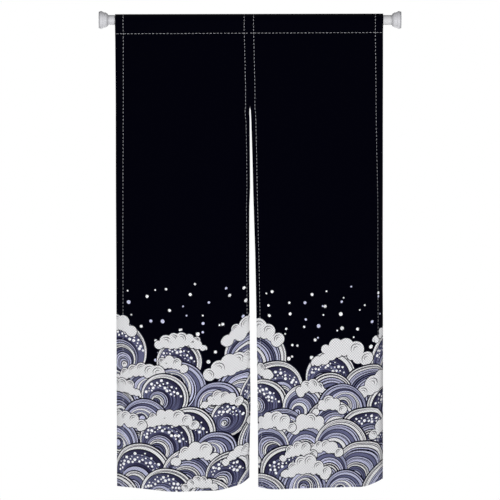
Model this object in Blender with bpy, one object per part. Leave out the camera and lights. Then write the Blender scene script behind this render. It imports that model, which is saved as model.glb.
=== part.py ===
"""A noren curtain of two hemmed cloth panels, hanging still on a plain tension rod.

The origin is the centre of the left pad's wall face, on the rod's axis. +X runs
along the rod to the right, -Y faces the viewer and +Z is up. Sizes are in metres.
Below the rod, places are given as a drop, which is the distance under its axis.
"""

import math
from typing import NamedTuple

import bmesh
import bpy
import numpy as np
from mathutils import Vector

# The rod, from wall to wall.
ROD_LENGTH = 0.957
OUTER_TUBE_R = 0.01550
OUTER_TUBE_WALL = 0.0006
INNER_TUBE_R = 0.01460
INNER_TUBE_WALL = 0.0008
OUTER_TUBE_MOUTH = 0.402
INNER_TUBE_END = 0.560
TURNED_STEPS = 36

# The end caps and their pads. Pieces that meet keep GAP between them.
GAP = 0.0003
PAD_R = 0.0266
PAD_THICKNESS = 0.0030
PAD_EDGE_ROUND = 0.0006
CAP_FLOOR = 0.0120
CAP_MOUTH = 0.0290
NECK_R = 0.01575
NECK_END = 0.0490

# The caps' outline as (distance from the wall, radius): the rim, a step and the cone.
CAP_OUTLINE = (
    (PAD_THICKNESS + GAP, 0.0262),
    (0.0045, 0.0276),
    (0.0060, 0.0282),
    (0.0085, 0.0281),
    (0.0110, 0.0268),
    (0.0128, 0.0246),
    (0.0165, 0.0238),
    (0.0180, 0.0231),
    (0.0195, 0.0231),
    (0.0240, 0.0208),
    (0.0270, 0.0190),
)

# The cloth. Its hems are doubled on the back, so its front face stays even.
CLOTH = 0.0010
HEMMED_CLOTH = 0.0016
SIDE_HEM = 0.0270
SLIT_HEM = 0.0153
BOTTOM_HEM = 0.0100
HEM_STEP = 0.0006
LAYER_GAP = 0.0004

# The rod pocket: its round top, the stitch line under it and the flap below that.
POCKET_R = 0.0202
FLAP = 0.0080
CROWN = (0.0183, 0.0203)
POCKET_SEAM = (0.0437, 0.0396)

# Folds start to form below FOLDS_FROM and grow to their full depth at the hem.
FOLDS_FROM = 0.200
FULL_FOLD = 1.480
FOLD_GROWTH = 1.5
FOLD_DRIFT = 0.08
CURL_GROWTH = 9

# The edges roll to the back below ROLLS_FROM, by ROLL_DEPTH times what their hems lose in width.
ROLLS_FROM = 0.115
FULL_ROLL = 0.300
ROLL_DEPTH = 1.3

# The grid of each panel.
MIDDLE_COLUMNS = 10
SHEET_ROWS = 26
ROW_CROWDING = 1.25
POCKET_STEPS = 20


class Level(NamedTuple):
    """A panel's two edges at one drop."""

    drop: float
    left: float
    right: float


class Shown(NamedTuple):
    """How wide a panel's two hems look from the front at one drop, the less the more they roll back."""

    drop: float
    side: float
    slit: float


class HemPoint(NamedTuple):
    """The hem at one place across a panel: how low it hangs and how far it stands back."""

    across: float
    drop: float
    fold: float
    curl: float


LEFT_LEVELS = (
    Level(-0.020, 0.0509, 0.4735),
    Level(0.220, 0.0530, 0.4790),
    Level(0.274, 0.0532, 0.4788),
    Level(0.286, 0.0532, 0.4771),
    Level(0.302, 0.0532, 0.4767),
    Level(0.320, 0.0532, 0.4775),
    Level(0.350, 0.0533, 0.4777),
    Level(0.540, 0.0536, 0.4790),
    Level(0.605, 0.0539, 0.4767),
    Level(0.800, 0.0549, 0.4762),
    Level(1.050, 0.0556, 0.4779),
    Level(1.240, 0.0564, 0.4805),
    Level(1.400, 0.0569, 0.4767),
    Level(1.480, 0.0573, 0.4765),
)
RIGHT_LEVELS = (
    Level(-0.020, 0.4740, 0.8997),
    Level(0.220, 0.4795, 0.8995),
    Level(0.274, 0.4793, 0.8994),
    Level(0.286, 0.4805, 0.8994),
    Level(0.302, 0.4812, 0.8994),
    Level(0.320, 0.4822, 0.8994),
    Level(0.350, 0.4830, 0.8993),
    Level(0.445, 0.4860, 0.8994),
    Level(0.560, 0.4888, 0.8994),
    Level(0.740, 0.4946, 0.8992),
    Level(0.870, 0.4973, 0.8993),
    Level(0.960, 0.4989, 0.8999),
    Level(1.050, 0.5003, 0.9000),
    Level(1.300, 0.5033, 0.9001),
    Level(1.480, 0.5045, 0.9002),
)
LEFT_SHOWN = (
    Shown(0.000, 0.0270, 0.0153),
    Shown(0.170, 0.0254, 0.0153),
    Shown(0.284, 0.0246, 0.0153),
    Shown(0.336, 0.0243, 0.0119),
    Shown(0.440, 0.0238, 0.0108),
    Shown(0.570, 0.0231, 0.0104),
    Shown(0.700, 0.0222, 0.0083),
    Shown(1.480, 0.0205, 0.0083),
)
RIGHT_SHOWN = (
    Shown(0.000, 0.0258, 0.0153),
    Shown(0.170, 0.0236, 0.0153),
    Shown(0.284, 0.0225, 0.0153),
    Shown(0.336, 0.0219, 0.0151),
    Shown(0.440, 0.0199, 0.0141),
    Shown(0.570, 0.0168, 0.0132),
    Shown(0.700, 0.0164, 0.0119),
    Shown(1.480, 0.0160, 0.0116),
)
LEFT_HEM = (
    HemPoint(0.00, 1.4755, 0.005, 0.001),
    HemPoint(0.09, 1.4790, 0.002, 0.000),
    HemPoint(0.24, 1.4850, -0.008, 0.000),
    HemPoint(0.42, 1.4921, -0.016, 0.000),
    HemPoint(0.63, 1.4898, -0.008, 0.000),
    HemPoint(0.78, 1.4875, 0.003, 0.000),
    HemPoint(0.87, 1.4782, 0.008, 0.001),
    HemPoint(0.94, 1.4681, 0.011, 0.006),
    HemPoint(1.00, 1.4498, 0.013, 0.014),
)
RIGHT_HEM = (
    HemPoint(0.00, 1.4785, 0.010, 0.002),
    HemPoint(0.08, 1.4844, 0.006, 0.000),
    HemPoint(0.30, 1.4822, -0.011, 0.000),
    HemPoint(0.52, 1.4810, 0.007, 0.000),
    HemPoint(0.74, 1.4774, -0.009, 0.000),
    HemPoint(0.85, 1.4762, -0.001, 0.001),
    HemPoint(0.92, 1.4676, 0.007, 0.007),
    HemPoint(1.00, 1.4532, 0.011, 0.012),
)


def blend(low, high, share):
    return low + (high - low) * share


def smooth_through(places, values, place):
    """A smooth curve through a table's values, read at one place."""
    slopes = np.gradient(values, places)
    i = int(np.clip(np.searchsorted(places, place) - 1, 0, len(places) - 2))
    span = places[i + 1] - places[i]
    t = (place - places[i]) / span
    return (
        values[i] * (1 + 2 * t) * (1 - t) ** 2
        + values[i + 1] * t * t * (3 - 2 * t)
        + slopes[i] * span * t * (1 - t) ** 2
        - slopes[i + 1] * span * t * t * (1 - t)
    )


def along_rod(ends, x):
    """A size that changes evenly from the cloth's left edge to its right one."""
    return float(np.interp(x, (LEFT_LEVELS[0].left, RIGHT_LEVELS[0].right), ends))


def hem_columns(width):
    """A hem's columns, as distances from its edge, and whether the cloth is doubled there."""
    return [(0.0, True), (width / 2, True), (width - HEM_STEP, True), (width + HEM_STEP, False)]


class Panel:
    """One cloth panel. Its slit edge is on its right if slit_on_right, else on its left."""

    def __init__(self, levels, shown, hem, slit_on_right):
        self.levels = levels
        self.shown = shown
        self.hem = hem
        self.slit_on_right = slit_on_right

    def shown_width(self, name, drop):
        """How wide the side or slit hem looks from the front."""
        drops = [shown.drop for shown in self.shown]
        return float(np.interp(drop, drops, [getattr(shown, name) for shown in self.shown]))

    def rolled_back(self, name, hem, inward, drop):
        """How far back a hem's roll takes the cloth, inward being the distance from its edge."""
        shown = self.shown_width(name, drop)
        depth = ROLL_DEPTH * (hem - shown) * float(np.interp(drop, (ROLLS_FROM, FULL_ROLL), (0, 1)))
        return depth * max(1.0 - inward / shown, 0.0) ** 2

    def edges(self, drop):
        drops = [level.drop for level in self.levels]
        left = float(np.interp(drop, drops, [level.left for level in self.levels]))
        right = float(np.interp(drop, drops, [level.right for level in self.levels]))
        return left, right

    def hem_value(self, name, across):
        places = [point.across for point in self.hem]
        return float(smooth_through(places, [getattr(point, name) for point in self.hem], across))

    def columns(self, drop):
        """Each column's place along the rod, and whether it lies in a doubled side hem."""
        left, right = self.edges(drop)
        side = hem_columns(self.shown_width("side", drop))
        slit = hem_columns(self.shown_width("slit", drop))
        from_left, from_right = (side, slit) if self.slit_on_right else (slit, side)
        first, last = left + from_left[-1][0], right - from_right[-1][0]
        middle = [
            (blend(first, last, (i + 1) / (MIDDLE_COLUMNS + 1)), False) for i in range(MIDDLE_COLUMNS)
        ]
        return (
            [(left + offset, doubled) for offset, doubled in from_left]
            + middle
            + [(right - offset, doubled) for offset, doubled in reversed(from_right)]
        )

    def setback(self, x, drop, fall):
        """How far the cloth's folds take it behind the rod's axis, fall being its share of the way down."""
        left, right = self.edges(drop)
        across = (x - left) / (right - left)
        drifted = across + FOLD_DRIFT * 4 * across * (1 - across) * (1 - fall)
        growth = (max(drop - FOLDS_FROM, 0.0) / (FULL_FOLD - FOLDS_FROM)) ** FOLD_GROWTH
        from_side, from_slit = (x - left, right - x) if self.slit_on_right else (right - x, x - left)
        return (
            self.hem_value("fold", drifted) * growth
            + self.hem_value("curl", across) * fall**CURL_GROWTH
            + self.rolled_back("side", SIDE_HEM, from_side, drop)
            + self.rolled_back("slit", SLIT_HEM, from_slit, drop)
        )

    def sheet_row(self, fall):
        """Points on the front face, a share of the way down from the pocket's seam to the hem."""
        nominal = blend(POCKET_SEAM[0], FULL_FOLD, fall)
        left, right = self.edges(nominal)
        row = []
        for x, doubled in self.columns(nominal):
            seam = along_rod(POCKET_SEAM, x)
            drop = blend(seam, self.hem_value("drop", (x - left) / (right - left)), fall)
            row.append((Vector((x, self.setback(x, drop, fall) - sheet_face(), -drop)), doubled))
        return row

    def pocket_row(self, share):
        """Points on the pocket's outer face, from its seam in front to its seam behind."""
        return [
            (pocket_point(x, share), doubled) for x, doubled in self.columns(POCKET_SEAM[0] * 0.5)
        ]


def sheet_face():
    """How far the outer faces of the two layers at the pocket's seam stand from the rod's axis."""
    return (CLOTH + HEMMED_CLOTH + LAYER_GAP) / 2


def pocket_point(x, share):
    """A point of the pocket's section: straight up from the seam, round the rod and back down."""
    crown = along_rod(CROWN, x)
    seam = along_rod(POCKET_SEAM, x)
    centre = crown - POCKET_R
    reach = math.hypot(sheet_face(), seam + centre)
    leaves = math.atan2(sheet_face(), seam + centre) + math.acos(POCKET_R / reach)
    straight = math.sqrt(reach**2 - POCKET_R**2)
    bent = POCKET_R * (2 * math.pi - 2 * leaves)
    length = share * (bent + 2 * straight)
    if straight <= length <= straight + bent:
        angle = leaves + (length - straight) / POCKET_R
        return Vector((x, -POCKET_R * math.sin(angle), centre - POCKET_R * math.cos(angle)))
    side = -1 if length < straight else 1
    up = length / straight if side < 0 else (2 * straight + bent - length) / straight
    top = Vector((x, side * POCKET_R * math.sin(leaves), centre - POCKET_R * math.cos(leaves)))
    return Vector((x, side * sheet_face(), -seam)).lerp(top, up)


def panel_rows(panel):
    """The outer face's rows from the hem up, over the rod and down behind, each with its thicknesses."""
    length = FULL_FOLD - POCKET_SEAM[0]
    heights = [0.0, BOTTOM_HEM - HEM_STEP, BOTTOM_HEM + HEM_STEP]
    heights += [length * (i / SHEET_ROWS) ** ROW_CROWDING for i in range(1, SHEET_ROWS + 1)]
    rows = []
    for height in heights:
        row = panel.sheet_row(1.0 - height / length)
        in_hem = height < BOTTOM_HEM
        rows.append([(point, HEMMED_CLOTH if doubled or in_hem else CLOTH) for point, doubled in row])
    for i in range(1, POCKET_STEPS + 1):
        row = panel.pocket_row(i / POCKET_STEPS)
        rows.append([(point, HEMMED_CLOTH if doubled else CLOTH) for point, doubled in row])
    # The flap's turned end fills what the side hems leave, so the layers stay LAYER_GAP apart.
    swapped = {CLOTH: HEMMED_CLOTH, HEMMED_CLOTH: CLOTH}
    flap_top = [(point, swapped[thickness]) for point, thickness in rows.pop()]
    flap_end = [(point - Vector((0, 0, FLAP)), thickness) for point, thickness in flap_top]
    return rows + [flap_top, flap_end]


def outward(rows, i, j):
    """The outer face's normal at one point of the grid."""
    last_row, last_column = len(rows) - 1, len(rows[0]) - 1
    up = rows[min(i + 1, last_row)][j][0] - rows[max(i - 1, 0)][j][0]
    right = rows[i][min(j + 1, last_column)][0] - rows[i][max(j - 1, 0)][0]
    return right.cross(up).normalized()


def panel_mesh(panel):
    rows = panel_rows(panel)
    height, width = len(rows), len(rows[0])
    mesh = bmesh.new()
    outer = [[mesh.verts.new(point) for point, _ in row] for row in rows]
    inner = [
        [mesh.verts.new(rows[i][j][0] - outward(rows, i, j) * rows[i][j][1]) for j in range(width)]
        for i in range(height)
    ]
    for i in range(height - 1):
        for j in range(width - 1):
            mesh.faces.new((outer[i][j], outer[i][j + 1], outer[i + 1][j + 1], outer[i + 1][j]))
            mesh.faces.new((inner[i][j], inner[i + 1][j], inner[i + 1][j + 1], inner[i][j + 1]))
        mesh.faces.new((outer[i][0], outer[i + 1][0], inner[i + 1][0], inner[i][0]))
        mesh.faces.new((outer[i + 1][-1], outer[i][-1], inner[i][-1], inner[i + 1][-1]))
    for j in range(width - 1):
        mesh.faces.new((outer[0][j + 1], outer[0][j], inner[0][j], inner[0][j + 1]))
        mesh.faces.new((outer[-1][j], outer[-1][j + 1], inner[-1][j + 1], inner[-1][j]))
    return mesh


def turned_mesh(outline, closed):
    """Turns (along, radius) points round the rod's axis. An open outline starts and ends on it."""
    mesh = bmesh.new()
    points = [mesh.verts.new((along, 0.0, radius)) for along, radius in outline]
    edges = [mesh.edges.new(pair) for pair in zip(points, points[1:])]
    if closed:
        edges.append(mesh.edges.new((points[-1], points[0])))
    bmesh.ops.spin(
        mesh,
        geom=points + edges,
        cent=(0, 0, 0),
        axis=(1, 0, 0),
        angle=2 * math.pi,
        steps=TURNED_STEPS,
        use_merge=True,
    )
    bmesh.ops.remove_doubles(mesh, verts=mesh.verts, dist=1e-6)
    bmesh.ops.recalc_face_normals(mesh, faces=mesh.faces)
    return mesh


def tube_mesh(start, end, radius, wall):
    return turned_mesh(
        [(start, radius), (end, radius), (end, radius - wall), (start, radius - wall)], closed=True
    )


def cap_mesh(bore, neck):
    """An end cap, its wall side at x = 0. The one with a neck holds the thinner tube."""
    outline = [(CAP_OUTLINE[0][0], 0.0), *CAP_OUTLINE]
    if neck:
        outline += [(CAP_MOUTH, 0.0170), (CAP_MOUTH + 0.0015, NECK_R)]
        outline += [(NECK_END, NECK_R), (NECK_END, bore)]
    else:
        outline += [(CAP_MOUTH, 0.0178), (CAP_MOUTH, bore)]
    outline += [(CAP_FLOOR, bore), (CAP_FLOOR, 0.0)]
    return turned_mesh(outline, closed=False)


def pad_mesh():
    """A round pad with a flat wall face at x = 0."""
    flat = PAD_R - PAD_EDGE_ROUND
    return turned_mesh(
        [(0.0, 0.0), (0.0, flat), (PAD_EDGE_ROUND, PAD_R), (PAD_THICKNESS, PAD_R), (PAD_THICKNESS, 0.0)],
        closed=False,
    )


def finish(name, color, roughness, metallic=0.0):
    material = bpy.data.materials.new(name)
    material.use_nodes = True
    shader = material.node_tree.nodes["Principled BSDF"]
    shader.inputs["Base Color"].default_value = (*color, 1.0)
    shader.inputs["Roughness"].default_value = roughness
    shader.inputs["Metallic"].default_value = metallic
    return material


def place(name, shape, material, parent, at_right_end=False):
    """Makes a named object. One at the rod's right end is turned round to face the left."""
    mesh = bpy.data.meshes.new(name)
    shape.to_mesh(mesh)
    shape.free()
    mesh.shade_smooth()
    mesh.set_sharp_from_angle(angle=math.radians(35))
    mesh.materials.append(material)
    piece = bpy.data.objects.new(name, mesh)
    piece.parent = parent
    if at_right_end:
        piece.location = (ROD_LENGTH, 0, 0)
        piece.rotation_euler = (0, 0, math.pi)
    bpy.context.scene.collection.objects.link(piece)
    return piece


def build():
    for old in list(bpy.data.objects):
        bpy.data.objects.remove(old)

    curtain = bpy.data.objects.new("curtain", None)
    bpy.context.scene.collection.objects.link(curtain)

    cloth = finish("black printed cloth", (0.002, 0.001, 0.005), 0.9)
    tube = finish("white painted tube", (0.62, 0.62, 0.65), 0.35)
    plastic = finish("white plastic", (0.56, 0.56, 0.59), 0.4)
    rubber = finish("pale grey rubber", (0.45, 0.45, 0.48), 0.7)

    left_panel = Panel(LEFT_LEVELS, LEFT_SHOWN, LEFT_HEM, slit_on_right=True)
    right_panel = Panel(RIGHT_LEVELS, RIGHT_SHOWN, RIGHT_HEM, slit_on_right=False)
    place("panel_left", panel_mesh(left_panel), cloth, curtain)
    place("panel_right", panel_mesh(right_panel), cloth, curtain)

    inner_tube = tube_mesh(CAP_FLOOR + GAP, INNER_TUBE_END, INNER_TUBE_R, INNER_TUBE_WALL)
    outer_tube_end = ROD_LENGTH - CAP_FLOOR - GAP
    outer_tube = tube_mesh(OUTER_TUBE_MOUTH, outer_tube_end, OUTER_TUBE_R, OUTER_TUBE_WALL)
    place("rod_inner_tube", inner_tube, tube, curtain)
    place("rod_outer_tube", outer_tube, tube, curtain)

    place("end_cap_left", cap_mesh(INNER_TUBE_R + GAP, neck=True), plastic, curtain)
    place("end_cap_right", cap_mesh(OUTER_TUBE_R + GAP, neck=False), plastic, curtain, at_right_end=True)
    place("end_pad_left", pad_mesh(), rubber, curtain)
    place("end_pad_right", pad_mesh(), rubber, curtain, at_right_end=True)


build()
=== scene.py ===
"""A noren curtain of two printed cloth panels on a white tension rod, as it hangs still.

Places are in metres in the CAD's frame: x runs along the rod from the left wall, y goes
back from the viewer and z up from the rod's axis. A drop is a distance under that axis.
Cloth is laid out flat first, as (across, up): across from a panel's left edge, and up
from its hem, through the rod pocket, to the end of the flap behind the pocket.
"""

import math
import random
from functools import cache
from itertools import pairwise
from typing import NamedTuple

import bpy
import numpy as np
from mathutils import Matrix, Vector
from mathutils.geometry import delaunay_2d_cdt
from mathutils.kdtree import KDTree


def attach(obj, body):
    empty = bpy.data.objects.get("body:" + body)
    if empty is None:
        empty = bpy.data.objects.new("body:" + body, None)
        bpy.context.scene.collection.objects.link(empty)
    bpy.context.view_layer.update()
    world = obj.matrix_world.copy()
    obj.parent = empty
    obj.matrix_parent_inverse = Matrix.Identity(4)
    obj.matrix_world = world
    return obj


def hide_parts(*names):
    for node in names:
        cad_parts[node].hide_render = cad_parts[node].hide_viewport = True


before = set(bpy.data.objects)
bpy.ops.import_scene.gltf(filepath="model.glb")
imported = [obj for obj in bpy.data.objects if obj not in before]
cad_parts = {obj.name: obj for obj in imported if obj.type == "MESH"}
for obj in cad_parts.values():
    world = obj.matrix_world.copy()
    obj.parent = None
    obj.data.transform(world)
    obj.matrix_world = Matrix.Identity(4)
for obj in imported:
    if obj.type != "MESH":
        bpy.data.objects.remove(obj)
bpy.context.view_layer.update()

# The rod, its caps and pads.
ROD_LENGTH = 0.957
OUTER_TUBE_R = 0.0155
OUTER_TUBE_WALL = 0.0006
INNER_TUBE_R = 0.0146
INNER_TUBE_WALL = 0.0008
OUTER_TUBE_MOUTH = 0.402
INNER_TUBE_END = 0.56
CAP_FLOOR = 0.012
CAP_MOUTH = 0.029
CAP_MOUTH_R = 0.0178
NECK_R = 0.01575
NECK_END = 0.049
GAP = 0.0003
ROUND_SIDES = 96
ACROSS_ROD = (0, math.pi / 2, 0)
SHARP = math.radians(28)
SMOOTH_BELOW = math.radians(32)

# The cloth: its thickness, its hems and the pocket that the rod goes through.
CLOTH = 0.001
HEMMED_CLOTH = 0.0016
SIDE_HEM = 0.027
SLIT_HEM = 0.0153
BOTTOM_HEM = 0.01
HEM_STEP = 0.0006
LAYER_GAP = 0.0004
POCKET_R = 0.0202
FLAP = 0.008
CROWN = (0.0183, 0.0203)
POCKET_SEAM = (0.0437, 0.0396)
SHEET_FACE = (CLOTH + HEMMED_CLOTH + LAYER_GAP) / 2

# How the folds grow on the way down to the hem, and how the edges roll to the back, by
# ROLL_DEPTH times what their hems lose in width. The panels are sewn together above the slit.
HEM_LEVEL = 1.480
FOLDS_FROM = 0.2
FOLD_GROWTH = 1.5
FOLD_DRIFT = 0.08
CURL_GROWTH = 9
ROLLS_FROM = 0.115
FULL_ROLL = 0.3
ROLL_DEPTH = 1.3
RIPPLE = 0.0007
RIPPLES_FROM = 0.1
RIPPLE_GROWTH = 0.5
RIPPLE_WAVES = ((31, 3.1), (4, 5.3))
SEWN_DOWN_TO = 0.2835
SLIT_OPEN_FROM = 0.286
SEAM_TAKES_UP = 0.00027

# A panel laid flat, and how far up it the pocket's seam is in front and behind.
WIDTH = 0.424
NEAR_SEAM = HEM_LEVEL - POCKET_SEAM[0]
POCKET_LENGTH = 0.158
FAR_SEAM = NEAR_SEAM + POCKET_LENGTH
LENGTH = FAR_SEAM + FLAP
FLAP_TURN = 0.007
CLOTH_WIDTH = 2 * WIDTH

# The cutting of a panel into triangles, and of the print's round outlines into straight sides.
GRID = 0.012
POCKET_GRID = 0.0025
CREASE = 0.0012
NEAREST_TIP = 0.0012
CUT_TOLERANCE = 2e-5
OUTLINE_STEP = 0.004
FEWEST_SIDES = 8
MOST_SIDES = 140
SIDES_TO_RADIUS = 1000
BESIDE_OUTLINE = 0.00012
SEEN_CHANGE = 0.004
PRINT_TOP = 0.68

# Stitching.
STITCH_PITCH = 0.0113
STITCH_LENGTH = 0.0071
THREAD = 0.0016
THREAD_FLATNESS = 0.6
SIDE_SEAM = 0.0262
SLIT_SEAM = 0.0148
BOTTOM_SEAM = 0.0088
SEAM_INSET = 0.002
SEAM_TOP_INSET = 0.001
BACK_SEAM_INSET = 0.003
TACK_WIDTH = 0.005
TACK_ROWS = 5
TACK_PITCH = 0.00095
TACK_SLANT = math.radians(7)
TACK_LIFT = 0.0001
TACK_PLACE = (0.4791, -0.2732)


def table(names, *rows):
    """A table's columns by their names."""
    return dict(zip(names.split(), zip(*rows)))


# Where a panel's edges are along the rod.
LEFT_EDGES = table(
    "drop left right",
    (-0.020, 0.0509, 0.4735), (0.220, 0.0530, 0.4790), (0.2835, 0.0532, 0.4788),
    (0.286, 0.0532, 0.4771), (0.302, 0.0532, 0.4767), (0.320, 0.0532, 0.4775),
    (0.350, 0.0533, 0.4777), (0.540, 0.0536, 0.4790), (0.605, 0.0539, 0.4767),
    (0.800, 0.0549, 0.4762), (1.050, 0.0556, 0.4779), (1.240, 0.0564, 0.4805),
    (1.400, 0.0569, 0.4767), (1.480, 0.0573, 0.4765),
)
RIGHT_EDGES = table(
    "drop left right",
    (-0.020, 0.4740, 0.8997), (0.220, 0.4795, 0.8995), (0.2835, 0.4793, 0.8994),
    (0.286, 0.4805, 0.8994), (0.302, 0.4812, 0.8994), (0.320, 0.4822, 0.8994),
    (0.350, 0.4830, 0.8993), (0.445, 0.4860, 0.8994), (0.560, 0.4888, 0.8994),
    (0.740, 0.4946, 0.8992), (0.870, 0.4973, 0.8993), (0.960, 0.4989, 0.8999),
    (1.050, 0.5003, 0.9000), (1.300, 0.5033, 0.9001), (1.480, 0.5045, 0.9002),
)
# How wide a panel's two hems look from the front, the less the more they roll back.
LEFT_SHOWN = table(
    "drop side slit",
    (0.000, 0.0270, 0.0153), (0.170, 0.0254, 0.0153), (0.284, 0.0246, 0.0153),
    (0.336, 0.0243, 0.0119), (0.440, 0.0238, 0.0108), (0.570, 0.0231, 0.0104),
    (0.700, 0.0222, 0.0083), (1.480, 0.0205, 0.0083),
)
RIGHT_SHOWN = table(
    "drop side slit",
    (0.000, 0.0258, 0.0153), (0.170, 0.0236, 0.0153), (0.284, 0.0225, 0.0153),
    (0.336, 0.0219, 0.0151), (0.440, 0.0199, 0.0141), (0.570, 0.0168, 0.0132),
    (0.700, 0.0164, 0.0119), (1.480, 0.0160, 0.0116),
)
# The hem at places across a panel: how low it hangs and how far its folds and curl stand back.
LEFT_HEM = table(
    "across drop fold curl",
    (0.00, 1.4755, 0.005, 0.001), (0.09, 1.4790, 0.002, 0.000), (0.24, 1.4850, -0.008, 0.000),
    (0.42, 1.4921, -0.016, 0.000), (0.63, 1.4898, -0.008, 0.000), (0.78, 1.4875, 0.003, 0.000),
    (0.87, 1.4782, 0.008, 0.001), (0.94, 1.4681, 0.011, 0.006), (1.00, 1.4498, 0.013, 0.014),
)
RIGHT_HEM = table(
    "across drop fold curl",
    (0.00, 1.4785, 0.010, 0.002), (0.08, 1.4844, 0.006, 0.000), (0.30, 1.4822, -0.011, 0.000),
    (0.52, 1.4810, 0.007, 0.000), (0.74, 1.4774, -0.009, 0.000), (0.85, 1.4762, -0.001, 0.001),
    (0.92, 1.4676, 0.007, 0.007), (1.00, 1.4532, 0.011, 0.012),
)


# ---- Adding things to the scene ----


def add_object(name, data):
    thing = bpy.data.objects.new(name, data)
    bpy.context.scene.collection.objects.link(thing)
    return thing


def new_mesh(name, points, faces):
    mesh = bpy.data.meshes.new(name)
    mesh.from_pydata(points.tolist(), [], faces)
    mesh.shade_smooth()
    return mesh


def make_current(*pieces):
    """Selects pieces alone, the first of them active."""
    bpy.ops.object.select_all(action="DESELECT")
    for piece in pieces:
        piece.select_set(True)
    bpy.context.view_layer.objects.active = pieces[0]


def edit_all():
    bpy.ops.object.mode_set(mode="EDIT")
    bpy.ops.mesh.select_all(action="SELECT")


def just_added(name):
    """The piece that was added last, named and with its place in its mesh."""
    piece = bpy.context.object
    piece.name = piece.data.name = name
    bpy.ops.object.transform_apply(location=True, rotation=True, scale=True)
    return piece


# ---- The camera ----

VIEW_CENTRE = (0.4784, -0.728)
VIEW_DISTANCE = 12.0
VIEW_WIDTH = 1.5825


def add_camera():
    camera = add_object("camera", bpy.data.cameras.new("camera"))
    camera.location = (VIEW_CENTRE[0], -VIEW_DISTANCE, VIEW_CENTRE[1])
    camera.rotation_euler = (math.pi / 2, 0, 0)
    camera.data.angle = 2 * math.atan(VIEW_WIDTH / 2 / VIEW_DISTANCE)
    bpy.context.scene.camera = camera


# ---- How the cloth hangs ----


def blend(low, high, share):
    return low + (high - low) * share


def eased(share):
    """0 to 1 with soft ends."""
    share = np.clip(share, 0.0, 1.0)
    return share * share * (3.0 - 2.0 * share)


def smooth_through(places, values, at):
    """A smooth curve through a table's values."""
    places, values = np.array(places), np.array(values)
    slopes = np.gradient(values, places)
    i = np.clip(np.searchsorted(places, at) - 1, 0, len(places) - 2)
    span = places[i + 1] - places[i]
    t = (at - places[i]) / span
    return (
        values[i] * (1 + 2 * t) * (1 - t) ** 2
        + values[i + 1] * t * t * (3 - 2 * t)
        + slopes[i] * span * t * (1 - t) ** 2
        - slopes[i + 1] * span * t * t * (1 - t)
    )


def along_rod(ends, x):
    """A size that changes evenly from the cloth's left edge to its right one."""
    return np.interp(x, (LEFT_EDGES["left"][0], RIGHT_EDGES["right"][0]), ends)


def pocket_section(x, length_share):
    """The pocket round the rod: (y, z) a share of its length from its seam in front to the one behind."""
    seam = along_rod(POCKET_SEAM, x)
    centre = along_rod(CROWN, x) - POCKET_R
    reach = np.hypot(SHEET_FACE, seam + centre)
    leaves = np.arctan2(SHEET_FACE, seam + centre) + np.arccos(POCKET_R / reach)
    straight = np.sqrt(reach**2 - POCKET_R**2)
    bent = POCKET_R * (2 * math.pi - 2 * leaves)
    length = length_share * (bent + 2 * straight)
    angle = leaves + np.clip(length - straight, 0, bent) / POCKET_R
    up = np.clip(np.minimum(length, 2 * straight + bent - length) / straight, 0, 1)
    side = np.where(length < straight + bent / 2, -1, 1)
    y = blend(side * SHEET_FACE, -POCKET_R * np.sin(angle), up)
    return y, blend(-seam, centre - POCKET_R * np.cos(angle), up)


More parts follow.
